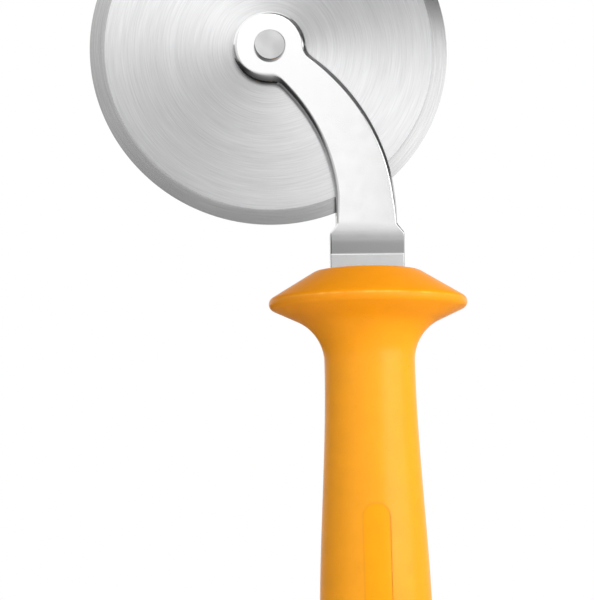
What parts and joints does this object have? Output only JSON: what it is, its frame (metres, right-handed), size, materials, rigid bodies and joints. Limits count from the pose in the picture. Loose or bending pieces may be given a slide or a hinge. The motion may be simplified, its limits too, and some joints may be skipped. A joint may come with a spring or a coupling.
{
  "type": "pizza cutter",
  "caption": "Hand-held pizza cutter: a bevelled round blade turns freely in a curved polished fork, whose tang is moulded into an oval plastic handle with a flared hand guard.",
  "frame": {"origin": "on the handle's axis in the middle of the grip, where a hand holds it", "axes": "+Z along the handle from the butt to the wheel, +X to the right as seen from the front, the axle along Y and the flat rivet head facing -Y"},
  "size_m": [0.1054, 0.0364, 0.2427],
  "materials": {
    "wheel_steel": "stainless steel, faces brushed in circles round the axle, edge bevel ground smooth",
    "fork_steel": "stainless steel, polished bright, with rounded pressed edges",
    "rivet_steel": "stainless steel, plain satin",
    "bush_bronze": "plain bearing bronze, turned",
    "washer_nylon": "natural nylon, plain",
    "handle_plastic": "moulded orange polypropylene, smooth semi-gloss"
  },
  "bodies": {
    "frame": {"handle": "handle_plastic", "front_fork_arm": "fork_steel", "rear_fork_arm": "fork_steel", "axle_rivet": "rivet_steel", "wheel_bush": "bush_bronze", "front_washer": "washer_nylon", "rear_washer": "washer_nylon", "tang_rivets": "rivet_steel"},
    "wheel": {"cutting_wheel": "wheel_steel"}
  },
  "joints": [
    {"name": "wheel_spin", "type": "hinge", "parent": "frame", "child": "wheel", "pos_m": [-0.0265, 0, 0.1237], "axis": [0, 1, 0], "continuous": true}
  ]
}
